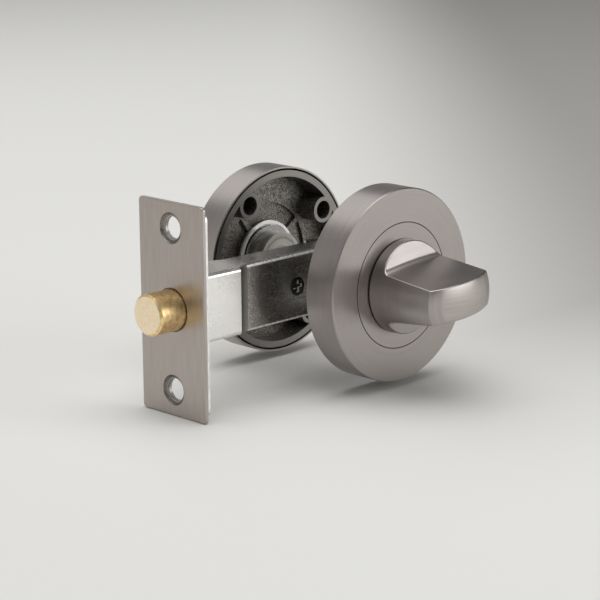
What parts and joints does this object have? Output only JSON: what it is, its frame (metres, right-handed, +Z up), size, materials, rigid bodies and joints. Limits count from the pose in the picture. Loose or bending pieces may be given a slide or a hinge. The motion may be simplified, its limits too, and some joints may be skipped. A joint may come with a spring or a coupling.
{
  "type": "bathroom thumb turn lock",
  "caption": "Bathroom privacy latch with a brass bolt, pressed steel case, square spindle, round thumb turn rose and round release rose with a coin slot.",
  "frame": {"origin": "on the back face of the forend, midway between its two wood screw holes and on the axis of the bolt", "axes": "+X into the door along the bolt, +Y towards the release side of the door, +Z up"},
  "size_m": [0.0945, 0.0803, 0.056],
  "materials": {
    "satin_nickel": "fine satin nickel plate",
    "satin_knob": "satin nickel plate with a soft sheen",
    "zinc_plated_steel": "bright zinc plate",
    "cast_zinc": "fine cast skin",
    "brass": "turned brass, lightly polished",
    "spring_steel": "bright spring steel",
    "plain_steel": "plain cold rolled steel"
  },
  "bodies": {
    "lock_body": {"faceplate": "satin_nickel", "forend_plate": "cast_zinc", "case_shell": "zinc_plated_steel", "case_cover": "zinc_plated_steel", "screw_pillar": "plain_steel", "case_screw": "zinc_plated_steel", "friction_spring": "spring_steel", "front_rose_cap": "satin_nickel", "front_rose_base": "cast_zinc", "front_hub_cup": "zinc_plated_steel", "front_spring_washer": "spring_steel", "rear_rose_cap": "satin_nickel", "rear_rose_base": "cast_zinc", "rear_hub_cup": "zinc_plated_steel", "rear_spring_washer": "spring_steel"},
    "turn": {"thumb_turn": "satin_knob", "spindle": "plain_steel", "spindle_pin": "spring_steel", "follower": "cast_zinc", "release_turn": "satin_knob", "front_circlip": "spring_steel", "rear_circlip": "spring_steel"},
    "bolt": {"bolt": "brass", "bolt_tail": "plain_steel", "tail_pin": "plain_steel"}
  },
  "joints": [
    {"name": "turn", "type": "hinge", "parent": "lock_body", "child": "turn", "pos_m": [0.0581, 0, 0], "axis": [0, 1, 0], "range_deg": [0, 90]},
    {"name": "bolt_slide", "type": "slide", "parent": "lock_body", "child": "bolt", "axis": [1, 0, 0], "range_m": [0, 0.0084]}
  ],
  "couplings": [
    {"joint": "bolt_slide", "follows": "turn", "m_per_rad": 0.0053476}
  ]
}
